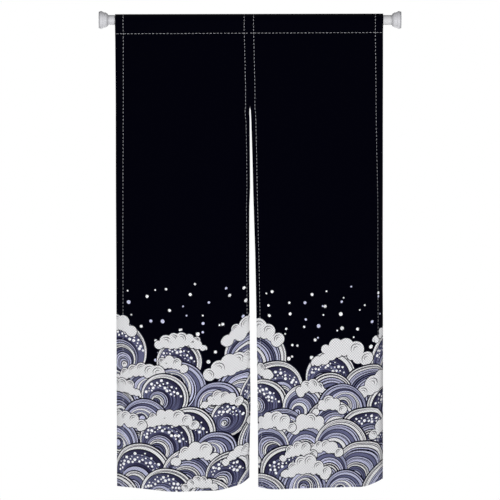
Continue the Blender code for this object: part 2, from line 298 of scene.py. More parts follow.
class Panel(NamedTuple):
    """One cloth panel and how it hangs. across and up are arrays of places on the flat cloth."""

    side: str
    edge: dict
    shown: dict
    hem: dict

    @property
    def slit_on_right(self):
        return self.side == "left"

    @property
    def print_start(self):
        """Where the panel starts on the printed cloth."""
        return (0.0 if self.slit_on_right else WIDTH, 0.0)

    def edges(self, drop):
        """x of the panel's two edges. Above the slit the panels are sewn together, so they touch."""
        left, right = (np.interp(drop, self.edge["drop"], self.edge[name]) for name in ("left", "right"))
        joined = np.interp(drop, (SEWN_DOWN_TO, SLIT_OPEN_FROM), (SEAM_TAKES_UP, 0))
        return (left, right + joined) if self.slit_on_right else (left - joined, right)

    def hem_value(self, name, share):
        return smooth_through(self.hem["across"], self.hem[name], share)

    def shown_width(self, name, drop):
        """How wide the side or slit hem looks from the front."""
        return np.interp(drop, self.shown["drop"], self.shown[name])

    def rolled_back(self, name, hem, inward, drop):
        """How far back a hem's roll takes the cloth, inward being the distance from its edge."""
        shown = self.shown_width(name, drop)
        depth = ROLL_DEPTH * (hem - shown) * np.interp(drop, (ROLLS_FROM, FULL_ROLL), (0, 1))
        return depth * np.clip(1 - inward / shown, 0, 1) ** 2

    def from_side_hem(self, across):
        return across if self.slit_on_right else WIDTH - across

    def place_on_rod(self, across, drop):
        """x of a place, the hems keeping their width and the middle taking up the rest."""
        left, right = self.edges(drop)
        side, side_shown = SIDE_HEM + HEM_STEP, self.shown_width("side", drop) + HEM_STEP
        slit, slit_shown = SLIT_HEM + HEM_STEP, self.shown_width("slit", drop) + HEM_STEP
        inward = self.from_side_hem(across)
        width = right - left
        middle = blend(side_shown, width - slit_shown, (inward - side) / (WIDTH - side - slit))
        near_slit = width - (WIDTH - inward) * slit_shown / slit
        shift = np.where(inward > WIDTH - slit, near_slit, middle)
        shift = np.where(inward < side, inward * side_shown / side, shift)
        return left + shift if self.slit_on_right else right - shift

    def setback(self, x, drop, fall):
        """How far the folds take the cloth behind the rod's axis, fall being its share of the way down."""
        left, right = self.edges(drop)
        share = np.clip((x - left) / (right - left), 0, 1)
        drifted = share + FOLD_DRIFT * 4 * share * (1 - share) * (1 - fall)
        growth = (np.maximum(drop - FOLDS_FROM, 0) / (HEM_LEVEL - FOLDS_FROM)) ** FOLD_GROWTH
        from_side, from_slit = (x - left, right - x) if self.slit_on_right else (right - x, x - left)
        first, second = (np.sin(across * share + down * drop) for across, down in RIPPLE_WAVES)
        return (
            self.hem_value("fold", drifted) * growth
            + self.hem_value("curl", share) * fall**CURL_GROWTH
            + self.rolled_back("side", SIDE_HEM, from_side, drop)
            + self.rolled_back("slit", SLIT_HEM, from_slit, drop)
            + RIPPLE * (first * second * eased((drop - RIPPLES_FROM) / RIPPLE_GROWTH))
        )

    def face(self, across, up):
        """Points of the cloth's printed face."""
        fall = np.clip(1 - up / NEAR_SEAM, 0, 1)
        in_pocket = np.clip((up - NEAR_SEAM) / POCKET_LENGTH, 0, 1)
        # The pocket's edges are those at half its seam's drop.
        nominal = blend(POCKET_SEAM[0], HEM_LEVEL, fall) * (1 - 0.5 * np.clip(20 * in_pocket, 0, 1))
        x = self.place_on_rod(across, nominal)
        left, right = self.edges(nominal)
        hem_drop = self.hem_value("drop", np.clip((x - left) / (right - left), 0, 1))
        drop = blend(along_rod(POCKET_SEAM, x), hem_drop, fall)
        y, z = pocket_section(x, in_pocket)
        on_sheet = up <= NEAR_SEAM
        y = np.where(on_sheet, self.setback(x, drop, fall) - SHEET_FACE, y)
        z = np.where(on_sheet, -drop, z - np.maximum(up - FAR_SEAM, 0))
        return np.stack([x, y, z], axis=-1)

    def thickness(self, across, up):
        """The cloth is doubled in its hems. The flap's turned end fills what the side hems leave."""
        inward = self.from_side_hem(across)
        into_hem = np.maximum(SIDE_HEM - inward, SLIT_HEM - (WIDTH - inward))
        in_side = np.clip(0.5 + into_hem / (2 * HEM_STEP), 0, 1)
        in_bottom = np.clip(0.5 + (BOTTOM_HEM - up) / (2 * HEM_STEP), 0, 1)
        in_flap = np.clip((up - FAR_SEAM + FLAP_TURN) / FLAP_TURN, 0, 1)
        doubled = np.maximum(in_side, in_bottom)
        return blend(CLOTH, HEMMED_CLOTH, blend(doubled, 1 - doubled, in_flap))

    def back(self, across, up):
        """Points of the cloth's unprinted face."""
        inward = normals_of(self.face, across, up) * self.thickness(across, up)[..., None]
        return self.face(across, up) - inward


def normals_of(surface, across, up, reach=0.0003):
    """The way that a surface faces, from how it runs just beside each place."""
    left, right = np.maximum(across - reach, 0), np.minimum(across + reach, WIDTH)
    low, high = np.maximum(up - reach, 0), np.minimum(up + reach, LENGTH)
    normal = np.cross(surface(right, up) - surface(left, up), surface(across, high) - surface(across, low))
    return normal / np.linalg.norm(normal, axis=-1, keepdims=True)


# ---- The print ----

INKS = {
    "ground": (0.0, 0.0, 0.0024),
    "line": (0.004, 0.004, 0.012),
    "white": (0.82, 0.82, 0.84),
    "cream": (0.661, 0.661, 0.678),
    "mist": (0.53, 0.54, 0.72),
    "lavender": (0.425, 0.435, 0.590),
    "dusk": (0.240, 0.248, 0.370),
    "slate": (0.112, 0.117, 0.208),
    "indigo": (0.022, 0.021, 0.052),
}
# The ink that each ink of a hill shades into.
SHADED = {"cream": "cream", "mist": "lavender", "lavender": "dusk", "slate": "indigo", "indigo": "slate"}
PRINT_SEED = 1
DROPS = 120
DROPS_FROM = 0.4
DROPS_REACH = 0.24
DROP_SIZES = (0.0028, 0.0038, 0.0048, 0.0060)
STRAY = 0.015
BRUSH_LINE = 0.0026
STROKE_WEIGHTS = (0.0010, 0.0022)
CLOUD_LINE = 0.0024
CLOUD_CURLS = ((0.72, 0.0024), (0.36, 0.0020))
CURLED_LOBE = 0.01
SMALLEST_RING = 0.006
STROKED_BAND = 0.006
SPECKLED_BAND = 0.02
SPECKLES = (0.0019, 0.0026, 0.0036, 0.0046)
SPECKLES_TO_RADIUS = 400
# How much the bands of a hill crowd together, the direction of that in degrees, and how far it
# turns from band to band in a ringed hill.
LEAN = (0.45, 0.82)
RINGED_LEAN = (0.45, 0.65)
LEANS_TOWARDS = (-60, -25)
RINGED_TURN = (0.5, 0.8)
# Whole multiples of one of these, less their whole parts, lie evenly spread from 0 to 1.
SPREAD_ACROSS = 0.754878
SPREAD_UP = 0.56984
SPREAD_INWARD = 0.618

# Rows of hills from the back to the front: each one's height and how much that varies, its
# count of hills, their radius, and the chance and the lobes' size of the cloud banks among them.
ROWS = (
    (0.398, 0.055, 4, 0.090, 0.80, 0.0225),
    (0.305, 0.026, 6, 0.078, 0.50, 0.0205),
    (0.268, 0.034, 6, 0.076, 0.60, 0.0200),
    (0.196, 0.030, 6, 0.078, 0.60, 0.0200),
    (0.130, 0.028, 6, 0.080, 0.60, 0.0195),
    (0.062, 0.024, 6, 0.082, 0.60, 0.0190),
    (-0.015, 0.018, 6, 0.084, 0.50, 0.0180),
)


def hill_bands(inks, *millimetres):
    """A hill's bands from its rim inwards, as (ink, width)."""
    return [(ink, width / 1000) for ink, width in zip(inks.split(), millimetres, strict=True)]


SWEPT_HILL = hill_bands(
    "cream lavender slate lavender cream slate mist lavender indigo cream", 9, 8, 6, 9, 6, 6, 7, 8, 4, 7
)
SPECKLED_HILL = hill_bands("cream indigo lavender cream slate mist lavender", 9, 27, 6, 6, 6, 7, 8)
RINGED_HILL = hill_bands(
    "lavender slate mist cream lavender cream slate mist cream lavender", 9, 5, 8, 6, 7, 6, 4, 6, 5, 6
)


def moved(place, way, distance):
    """The place that lies so far away in a direction."""
    return place[0] + distance * math.cos(way), place[1] + distance * math.sin(way)


dice = random.Random(PRINT_SEED)
stamps = []


def disc(place, radius, ink, shade=None, toward=0.0):
    """Lays a round stamp of ink on the others. The ink shades into another one in a direction."""
    stamps.append((*place, radius, *INKS[ink], *INKS[shade or ink], toward))


def stroke(place, radius, ink, way):
    """A tapering brush line: a thin dark crescent."""
    weight = dice.uniform(*STROKE_WEIGHTS)
    disc(place, radius, "slate" if ink == "indigo" else "line")
    disc(moved(place, way, weight), radius - weight * 0.35, ink, SHADED[ink], way)


def hill(place, radius, lean, way, turn, bands):
    """Nested bands with brushed rims that crowd together towards a side, which turns from band to band."""
    i = 0
    while radius > SMALLEST_RING:
        ink, width = bands[i % len(bands)]
        line = BRUSH_LINE * (1.3 if i == 0 else dice.uniform(0.7, 1.1))
        disc(place, radius, "line")
        inside, rim = moved(place, way, 0.45 * line), radius - line
        disc(inside, rim, ink, SHADED[ink], way)
        width *= dice.uniform(0.9, 1.15)
        if width > SPECKLED_BAND:
            speckled_band(inside, rim, width, way, lean)
        elif width > STROKED_BAND:
            for share in (0.40, 0.70):
                stroke_radius = rim - width * share * dice.uniform(0.8, 1.1)
                stroke(inside, stroke_radius, ink, way + dice.uniform(-0.9, 0.9))
        radius -= width + line
        place = moved(place, way, lean * (width + line))
        way += turn
        i += 1


def speckled_band(place, radius, width, way, lean):
    """Brush lines and loose white dots on a wide dark band."""
    for share in (0.22, 0.36, 0.50, 0.64, 0.80):
        ink = dice.choice(("slate", "indigo", "indigo"))
        inset = moved(place, way, lean * width * share)
        stroke(inset, radius - width * share, ink, way + dice.uniform(-0.8, 0.8))
    count = int(radius * SPECKLES_TO_RADIUS)
    for i in range(count):
        angle = math.pi * (0.04 + 0.92 * (i + dice.uniform(-0.4, 0.4)) / count)
        crowding = 1 - 0.9 * lean * math.cos(angle - way)
        depth = width * (0.14 + 0.72 * (i * SPREAD_INWARD % 1.0)) * crowding
        disc(moved(place, angle, radius - depth), dice.choice(SPECKLES), "white")


def cloud(x, y, lobe):
    """A cloud bank: one cream shape with a scalloped outline, a tail and a few curls in it."""
    side = dice.choice((-1, 1))
    count = dice.choice((5, 6, 7))
    reach = lobe * count * 0.52
    lobes = []
    for i in range(count):
        along = -1 + 2 * i / (count - 1)
        size = lobe * (1.0 - 0.45 * abs(along + 0.35 * side) ** 1.5) * dice.uniform(0.85, 1.15)
        arch = lobe * 1.5 * (1 - along * along) + lobe * dice.uniform(-0.2, 0.2)
        lobes.append(((x + reach * along, y + arch), size))
    for i in range(count + 2):
        along = -1 + 2 * i / (count + 1)
        size = lobe * dice.uniform(0.42, 0.80)
        arch = lobe * 0.75 * (1 - along * along) - lobe * dice.uniform(0.0, 0.45)
        lobes.append(((x + reach * 0.92 * along, y + arch), size))
    (tail_x, tail_y), size = lobes[count - 1 if side > 0 else 0]
    for step in range(4):
        angle = -0.35 - 0.55 * step
        size *= 0.80
        tail_x += side * size * 1.05 * math.cos(angle)
        tail_y += size * 1.05 * math.sin(angle)
        lobes.append(((tail_x, tail_y), size))
    for place, size in lobes:
        disc(place, size + CLOUD_LINE, "line")
    for place, size in lobes:
        disc(place, size, "cream")
    for place, size in lobes[:count]:
        if size > CURLED_LOBE and dice.random() < 0.75:
            way = math.radians(dice.uniform(-105, -75) - 40 * side)
            for share, weight in CLOUD_CURLS:
                disc(place, size * share, "line")
                disc(moved(place, way, weight), size * share, "cream")


def draw_print():
    """Drops over a skyline of hills, then the rows of hills and clouds from the back to the front."""
    for i in range(DROPS):
        x = CLOTH_WIDTH * (i * SPREAD_ACROSS % 1.0) + dice.uniform(-STRAY, STRAY)
        y = DROPS_FROM + DROPS_REACH * (i * SPREAD_UP % 1.0) ** 1.5 + dice.uniform(-STRAY, STRAY)
        size = dice.choice(DROP_SIZES)
        disc((x, y), size, dice.choice(("white", "white", "cream", "mist")))
    for number, (height, rise, hills, usual_radius, cloud_chance, lobe) in enumerate(ROWS):
        pitch = CLOTH_WIDTH / hills
        spots = []
        for i in range(hills + 1):
            x = pitch * (i + (0.55 if number % 2 else 0.1) + dice.uniform(-0.16, 0.16))
            spots.append((height + dice.uniform(-1, 1) * rise, x, usual_radius * dice.uniform(0.8, 1.15)))
        for y, x, radius in sorted(spots, reverse=True):
            bands = dice.choice((SWEPT_HILL, SPECKLED_HILL, RINGED_HILL if number else SPECKLED_HILL))
            lean, turn = dice.uniform(*LEAN), 0.0
            if bands is RINGED_HILL:
                lean, turn = dice.uniform(*RINGED_LEAN), dice.choice((-1, 1)) * dice.uniform(*RINGED_TURN)
            way = math.radians(dice.uniform(*LEANS_TOWARDS))
            if dice.random() < 0.5:
                way = math.pi - way
            hill((x, y), radius, lean, way, turn, bands)
            if dice.random() < cloud_chance:
                x += dice.uniform(-0.5, 0.5) * radius
                y += radius * dice.uniform(0.55, 0.85)
                cloud(x, y, lobe * dice.uniform(0.8, 1.25))
    disc((0, 0), 1, "ground")
    return np.array(stamps)


# The stamps from the lowest to the topmost, and last the bare ground.
DESIGN = draw_print()


def directions(angles):
    return np.stack([np.cos(angles), np.sin(angles)], axis=1)


def topmost(points):
    """Which stamp shows at each place, or -1 where the ground does."""
    order = np.argsort(points[:, 0], kind="stable")
    x, y = points[order].T
    top = np.full(len(points), -1)
    for i, (stamp_x, stamp_y, radius) in enumerate(DESIGN[:-1, :3]):
        near = slice(*np.searchsorted(x, (stamp_x - radius, stamp_x + radius)))
        away = (x[near] - stamp_x) ** 2 + (y[near] - stamp_y) ** 2
        top[near][away < radius**2] = i
    return top[np.argsort(order)]


def ink_at(which, points):
    """The ink of a stamp at each place."""
    stamp = DESIGN[which]
    along = ((points - stamp[:, :2]) * directions(stamp[:, 9])).sum(axis=1) / stamp[:, 2]
    return blend(stamp[:, 3:6], stamp[:, 6:9], eased(0.5 + 0.5 * along)[:, None])


def print_outlines():
    """Short straight pieces of every outline that shows: all of their starts, and all of their ends."""
    sides, owners = [], []
    for i, (x, y, radius) in enumerate(DESIGN[:-1, :3]):
        fewest = FEWEST_SIDES + SIDES_TO_RADIUS * radius
        count = int(np.clip(math.tau * radius / OUTLINE_STEP, fewest, MOST_SIDES))
        ring = radius * directions(np.arange(count + 1) * math.tau / count) + (x, y)
        sides.append(np.stack([ring[:-1], ring[1:]]))
        owners += [i] * count
    sides, owners = np.concatenate(sides, axis=1), np.array(owners)
    centre, radius = DESIGN[owners, :2], DESIGN[owners, 2:3]
    shows = np.zeros(len(owners), dtype=bool)
    for share in (0.08, 0.5, 0.92):
        place = blend(*sides, share)
        way = (place - centre) / np.linalg.norm(place - centre, axis=1, keepdims=True)
        inside = centre + way * (radius - BESIDE_OUTLINE)
        outside = centre + way * (radius + BESIDE_OUTLINE)
        within, without = topmost(inside), topmost(outside)
        change = np.abs(ink_at(within, inside) - ink_at(without, outside)).max(axis=1)
        shows |= (within == owners) & (change > SEEN_CHANGE)
    return sides[:, shows]


# ---- Cutting the cloth and making it up ----


def run_of_points(start, end, step):
    """Points from one place to another, no more than a step apart."""
    start, end = np.array((start, end), dtype=float)
    count = max(math.ceil(np.linalg.norm(end - start) / step), 1)
    return blend(start, end, np.arange(count + 1)[:, None] / count)


def sewn_and_folded_lines(panel):
    """The panel's outline, its hems' steps and the folds of its pocket, each as a run of points."""
    steps = [hem + step for hem in (SIDE_HEM, WIDTH - SLIT_HEM) for step in (-HEM_STEP, HEM_STEP)]
    levels = [BOTTOM_HEM - HEM_STEP, BOTTOM_HEM + HEM_STEP, PRINT_TOP, HEM_LEVEL - SLIT_OPEN_FROM]
    levels += [HEM_LEVEL - SEWN_DOWN_TO, NEAR_SEAM - CREASE, NEAR_SEAM, NEAR_SEAM + CREASE]
    levels += [FAR_SEAM - FLAP_TURN, FAR_SEAM]
    lines = [run_of_points((0, up), (WIDTH, up), GRID / 2) for up in (0, LENGTH)]
    for across in (0, WIDTH, *map(panel.from_side_hem, steps)):
        lines.append(run_of_points((across, 0), (across, LENGTH), GRID / 2))
    return lines + [run_of_points((0, up), (WIDTH, up), GRID) for up in levels]


def cut_pattern(panel, outlines):
    """Cuts the flat panel into triangles along its own lines and the outlines of its print."""
    drawn = outlines - panel.print_start
    here = ((drawn > 0).all(axis=2) & (drawn[..., 0] < WIDTH)).any(axis=0)
    lines = [np.stack([line[:-1], line[1:]]) for line in sewn_and_folded_lines(panel)]
    ends = np.concatenate([drawn[:, here], *lines], axis=1).reshape(-1, 2)
    tips, numbers = np.unique(np.round(ends, 6), axis=0, return_inverse=True)
    cuts = [(int(a), int(b)) for a, b in numbers.reshape(2, -1).T if a != b]

    tree = KDTree(len(tips))
    for i, (across, up) in enumerate(tips):
        tree.insert((across, up, 0), i)
    tree.balance()
    sheet_rows = np.arange(GRID / 2, NEAR_SEAM, GRID)
    pocket_rows = np.arange(NEAR_SEAM + POCKET_GRID, LENGTH, POCKET_GRID)
    grid = [
        (across, up)
        for up in np.concatenate([sheet_rows, pocket_rows])
        for across in np.arange(GRID / 2, WIDTH, GRID)
        if tree.find((across, up, 0))[2] > NEAREST_TIP
    ]
    corners = [Vector(place) for place in (*tips, *grid)]
    places, _, triangles, *_ = delaunay_2d_cdt(corners, cuts, [], 0, CUT_TOLERANCE)
    places, triangles = np.array([tuple(place) for place in places]), np.array(triangles)
    middle = places[triangles].mean(axis=1)
    inside = (middle > 0).all(axis=1) & (middle[:, 0] < WIDTH) & (middle[:, 1] < LENGTH)
    used, triangles = np.unique(triangles[inside], return_inverse=True)
    places = np.clip(places[used], 0, (WIDTH, LENGTH))
    return places, triangles.reshape(-1, 3)


def rim_edges(triangles):
    """The pattern's outer edges, each in the direction of its triangle."""
    edges = np.vstack([triangles[:, ends] for ends in ((0, 1), (1, 2), (2, 0))])
    _, first, uses = np.unique(np.sort(edges, axis=1), axis=0, return_index=True, return_counts=True)
    return edges[first[uses == 1]]


# Where each side of the cloth goes on the baked picture: (left, right, bottom, top).
PRINTED_PATCH = (0.004, 0.634, 0.004, 0.996)
PLAIN_PATCH = (0.644, 0.984, 0.504, 0.996)
BACK_PATCH = (0.644, 0.984, 0.004, 0.496)
RIM_PATCH = (0.989, 0.997, 0.004, 0.996)
ON_EDGE = 1e-5


def laid_in(patch, across_share, up_share):
    left, right, bottom, top = patch
    return np.stack([blend(left, right, across_share), blend(bottom, top, up_share)], axis=-1)


def round_the_rim(places):
    """How far round the panel's outline each place is, from 0 to 1."""
    across, up = places.T
    run = np.where(up > LENGTH - ON_EDGE, 2 * WIDTH + LENGTH - across, across)
    run = np.where(across > WIDTH - ON_EDGE, WIDTH + up, run)
    run = np.where((across < ON_EDGE) & (up > ON_EDGE), 2 * WIDTH + 2 * LENGTH - up, run)
    return run / (2 * (WIDTH + LENGTH))


def places_to_bake(flat, front, on_back):
    """Where each corner goes on the baked picture: the first ones lie on the face, the last on the rim."""
    baked = laid_in(BACK_PATCH, flat[:, 0] / WIDTH, flat[:, 1] / LENGTH)
    share, height = flat[:front, 0] / WIDTH, flat[:front, 1]
    printed = np.repeat(height.reshape(-1, 3).mean(axis=1) < PRINT_TOP, 3)
    plain_share = (height - PRINT_TOP) / (LENGTH - PRINT_TOP)
    print_places = laid_in(PRINTED_PATCH, share, height / PRINT_TOP)
    baked[:front] = np.where(printed[:, None], print_places, laid_in(PLAIN_PATCH, share, plain_share))
    # No triangle of the rim runs back from the end of the outline to its start.
    run = round_the_rim(flat[2 * front :])
    first = np.repeat(run[::3], 3)
    run = np.where(run < first - 0.5, run + 1, np.where(run > first + 0.5, run - 1, run))
    baked[2 * front :] = laid_in(RIM_PATCH, on_back[2 * front :], run)
    return baked


def add_map(mesh, name, places):
    mesh.uv_layers.new(name=name).data.foreach_set("uv", places.ravel())


def make_panel(panel, outlines):
    """The panel's cloth: its printed face, its back and the cut edge between them."""
    places, triangles = cut_pattern(panel, outlines)
    across, up = places.T
    count = len(places)
    start, end = rim_edges(triangles).T
    halves = ((end, start, start + count), (end, start + count, end + count))
    rim = np.vstack([np.stack(corners, axis=1) for corners in halves])
    faces = np.vstack([triangles, triangles[:, ::-1] + count, rim])
    loops = faces.reshape(-1)
    points = np.vstack([panel.face(across, up), panel.back(across, up)])
    mesh = new_mesh(f"cloth_{panel.side}", points, faces.tolist())

    facing = normals_of(panel.face, across, up)
    outward = np.cross(points[end] - points[start], facing[start])
    outward /= np.linalg.norm(outward, axis=1, keepdims=True)
    ways = np.vstack([facing, -normals_of(panel.back, across, up)])[loops]
    ways[-3 * len(rim) :] = np.repeat(np.tile(outward, (2, 1)), 3, axis=0)
    mesh.normals_split_custom_set(ways.tolist())

    # The ink is found once for each triangle, so that its edges stay sharp.
    spot = places[np.vstack([triangles, triangles, rim % count])]
    top = np.repeat(topmost(spot.mean(axis=1) + panel.print_start), 3)
    ink = np.ones((len(loops), 4))
    ink[:, :3] = ink_at(top, spot.reshape(-1, 2) + panel.print_start)
    mesh.color_attributes.new("Ink", "FLOAT_COLOR", "CORNER").data.foreach_set("color", ink.ravel())

    flat = places[loops % count]
    add_map(mesh, "Cloth", np.stack([panel.from_side_hem(flat[:, 0]), flat[:, 1]], axis=1))
    add_map(mesh, "OFBake", places_to_bake(flat, 3 * len(triangles), loops >= count))

    # A hem is turned to the back, so its printed face shows there too.
    inward, height = panel.from_side_hem(spot[..., 0]).mean(axis=1), spot[..., 1].mean(axis=1)
    in_hem = (inward < SIDE_HEM) | (inward > WIDTH - SLIT_HEM) | (height < BOTTOM_HEM)
    kinds = np.where(in_hem | (np.arange(len(faces)) < len(triangles)), 0, 1)
    mesh.materials.append(cloth_material("printed cloth", behind=False))
    mesh.materials.append(cloth_material("back of the cloth", behind=True))
    mesh.polygons.foreach_set("material_index", kinds.astype(np.int32))
    mesh.update()
    return add_object(mesh.name, mesh)


# ---- Stitching ----


def drawn_out(name, rings, sides):
    """A disc across the x axis, extruded and resized ring by ring to each (along, radius, lift)."""
    along, radius, lift = rings[0]
    bpy.ops.mesh.primitive_circle_add(
        vertices=sides, radius=radius, fill_type="NGON", location=(along, 0, lift), rotation=ACROSS_ROD
    )
    piece = just_added(name)
    edit_all()
    for (along, radius, lift), (next_along, next_radius, next_lift) in pairwise(rings):
        step = (next_along - along, 0, next_lift - lift)
        bpy.ops.mesh.extrude_region_move(TRANSFORM_OT_translate={"value": step})
        share = next_radius / radius
        bpy.ops.transform.resize(value=(1, share, share), center_override=(next_along, 0, next_lift))
    bpy.ops.mesh.select_all(action="SELECT")
    bpy.ops.mesh.normals_make_consistent(inside=False)
    bpy.ops.object.mode_set(mode="OBJECT")
    return piece


def thread_rings(length):
    """A thread that comes up out of the cloth and goes back into it."""
    half, round_end = length / 2, THREAD * 0.7
    lifts = ((half, 0.45, -0.00050), (half - round_end * 0.4, 0.85, -0.00010), (half * 0.45, 1.0, 0.00022))
    left = [(-along, THREAD / 2 * share, lift) for along, share, lift in lifts]
    return left + [(-along, radius, lift) for along, radius, lift in reversed(left)]


def stitch_places(start, end):
    """Where stitches sit along a line on the flat cloth, and which way they run."""
    start, end = np.array((start, end), dtype=float)
    length = np.linalg.norm(end - start)
    count = int(length / STITCH_PITCH)
    shares = (np.arange(count) + 0.5) / count
    return [(*blend(start, end, share), *((end - start) / length)) for share in shares]


def stitch_lines(panel, behind):
    """The places of every stitch on one side of a panel."""
    top = NEAR_SEAM - FLAP - BACK_SEAM_INSET if behind else LENGTH - SEAM_TOP_INSET
    places = []
    for seam in (SIDE_SEAM, WIDTH - SLIT_SEAM):
        across = panel.from_side_hem(seam)
        places += stitch_places((across, BOTTOM_SEAM), (across, top))
    levels = [BOTTOM_SEAM] if behind else [BOTTOM_SEAM, NEAR_SEAM, FAR_SEAM]
    for up in levels:
        places += stitch_places((SEAM_INSET, up), (WIDTH - SEAM_INSET, up))
    return np.array(places)


def make_stitching(panel):
    """All of a panel's stitches: one thread, laid along every seam on the face and on the back."""
    thread = drawn_out("stitch", thread_rings(STITCH_LENGTH), sides=6)
    shape = np.array([vertex.co[:] for vertex in thread.data.vertices]) * (1, 1, THREAD_FLATNESS)
    sides = [list(polygon.vertices) for polygon in thread.data.polygons]
    bpy.data.objects.remove(thread)
    around = np.arctan2(shape[:, 2], shape[:, 1]) / math.tau
    points, faces, lengthwise = [], [], []
    for surface, order in ((panel.face, 1), (panel.back, -1)):
        places = stitch_lines(panel, behind=order < 0)
        way = places[:, None, 2:]
        aside = np.stack([-way[..., 1], way[..., 0]], axis=-1)
        at = places[:, None, :2] + way * shape[:, :1] + aside * shape[:, 1:2]
        across, up = np.moveaxis(np.clip(at, 0, (WIDTH, LENGTH)), -1, 0)
        start = sum(map(len, points))
        lifted = surface(across, up) + normals_of(surface, across, up) * order * shape[:, 2:3]
        points.append(lifted.reshape(-1, 3))
        for first in range(start, start + len(places) * len(shape), len(shape)):
            faces += [[first + corner for corner in side[::order]] for side in sides]
        lengthwise.append(np.tile(np.stack([shape[:, 0], around], axis=1), (len(places), 1)))
    mesh = new_mesh(f"stitching_{panel.side}", np.vstack(points), faces)
    loops = np.empty(len(mesh.loops), dtype=np.int32)
    mesh.loops.foreach_get("vertex_index", loops)
    add_map(mesh, "Thread", np.vstack(lengthwise)[loops])
    mesh.materials.append(thread_material(*PALE_THREAD))
    return add_object(mesh.name, mesh)


def make_bar_tack():
    """The dense zigzag of dark thread that holds the panels together above the slit."""
    threads = []
    front, back = -SHEET_FACE - TACK_LIFT, HEMMED_CLOTH - SHEET_FACE + TACK_LIFT
    for face_y, facing in ((front, 1), (back, -1)):
        for row in range(TACK_ROWS):
            threads.append(drawn_out("bar_tack", thread_rings(TACK_WIDTH), sides=8))
            edit_all()
            slant = TACK_SLANT if row % 2 else -TACK_SLANT
            for axis, angle in (("X", -facing * math.pi / 2), ("Y", slant)):
                turn = {"orient_axis": axis, "orient_type": "GLOBAL", "center_override": (0, 0, 0)}
                bpy.ops.transform.rotate(value=angle, **turn)
            bpy.ops.transform.translate(value=(TACK_PLACE[0], face_y, TACK_PLACE[1] - row * TACK_PITCH))
            bpy.ops.object.mode_set(mode="OBJECT")
    make_current(*threads)
    bpy.ops.object.join()
    tack = threads[0]
    tack.data.materials.append(thread_material(*DARK_THREAD))
    tack.data.shade_smooth()
    return tack


# ---- The rod ----

# Outlines of the end pieces from the left wall, as (along, radius). The pad has three grooves.
GROOVE = ((0.0, 0.0), (0.0007, 0.0006), (0.0007, 0.0022), (0.0, 0.0028))
CAP_OUTLINE = (
    (0.0033, 0.0262), (0.0045, 0.0276), (0.0060, 0.0282), (0.0085, 0.0281), (0.0112, 0.0273),
    (0.0130, 0.0251), (0.0166, 0.0244), (0.0174, 0.0233), (0.0184, 0.0233), (0.0192, 0.0241),
    (0.0210, 0.0239), (0.0240, 0.0218), (0.0276, 0.0199), (0.0286, 0.0186),
)
NECK_OUTLINE = ((CAP_MOUTH, NECK_R), (NECK_END, NECK_R))
PAD_OUTLINE = (
    (0.0030, 0.0266), (0.0006, 0.0266), (0.0000, 0.0260),
    *((depth, round(rim - inset, 4)) for rim in (0.0228, 0.0166, 0.0104) for depth, inset in GROOVE),
    (0.0000, 0.0040),
)


def modify(piece, kind, **settings):
    """Gives a piece a modifier and applies it."""
    modifier = piece.modifiers.new(kind, kind)
    for name, value in settings.items():
        setattr(modifier, name, value)
    make_current(piece)
    bpy.ops.object.modifier_apply(modifier=modifier.name)


def finish_hard_piece(piece, material, edge_round):
    """Rounds a hard piece's edges and gives it its material."""
    modify(piece, "BEVEL", width=edge_round, segments=2, limit_method="ANGLE", angle_limit=SHARP)
    bpy.ops.object.shade_smooth_by_angle(angle=SMOOTH_BELOW)
    piece.data.materials.append(material)
    return piece


def make_tube(name, start, end, radius, wall, material):
    """An open tube with its wall inwards."""
    size = {"vertices": ROUND_SIDES, "radius": radius, "depth": end - start}
    place = {"location": ((start + end) / 2, 0, 0), "rotation": ACROSS_ROD}
    bpy.ops.mesh.primitive_cylinder_add(end_fill_type="NOTHING", **size, **place)
    tube = just_added(name)
    modify(tube, "SOLIDIFY", thickness=wall, offset=-1)
    return finish_hard_piece(tube, material, edge_round=0.00015)


def cap_outline(side):
    """An end cap, bored for its tube. The left one goes on as the neck that holds the thinner tube."""
    bore, mouth = INNER_TUBE_R + GAP, NECK_OUTLINE
    if side == "right":
        bore, mouth = OUTER_TUBE_R + GAP, ((CAP_MOUTH, CAP_MOUTH_R),)
    return (*CAP_OUTLINE, *mouth, (mouth[-1][0], bore), (CAP_FLOOR, bore))


def make_end_piece(kind, side, outline, material, edge_round):
    """A cap or pad on the left wall, or turned round on the right one."""
    rings = [(ROD_LENGTH - along if side == "right" else along, radius, 0.0) for along, radius in outline]
    return finish_hard_piece(drawn_out(f"{kind}_{side}", rings, ROUND_SIDES), material, edge_round)


# ---- Materials ----


def fill_in(tree, node, inputs):
    """Joins or sets a node's inputs, which are given by name or number."""
    for name, value in inputs.items():
        if isinstance(value, bpy.types.NodeSocket):
            tree.links.new(value, node.inputs[name])
        else:
            node.inputs[name].default_value = value
    return node


def add_node(tree, kind, inputs=None, **settings):
    node = tree.nodes.new(kind)
    for name, value in settings.items():
        setattr(node, name, value)
    return fill_in(tree, node, inputs or {})


def maths(tree, operation, *values, clamp=False):
    inputs = dict(enumerate(values))
    return add_node(tree, "ShaderNodeMath", inputs, operation=operation, use_clamp=clamp).outputs[0]


def apart(tree, first, second):
    return maths(tree, "ABSOLUTE", maths(tree, "SUBTRACT", first, second))


def product(tree, first, *others):
    for other in others:
        first = maths(tree, "MULTIPLY", first, other)
    return first


def noise(tree, place, scale, detail):
    return add_node(tree, "ShaderNodeTexNoise", {"Vector": place, "Scale": scale, "Detail": detail}).outputs


def stretched(tree, place, x, y, angle=0.0):
    inputs = {"Vector": place, "Rotation": (0, 0, math.radians(angle)), "Scale": (x, y, 1.0)}
    return add_node(tree, "ShaderNodeMapping", inputs).outputs[0]


def axes(tree, place):
    return add_node(tree, "ShaderNodeSeparateXYZ", {0: place}).outputs


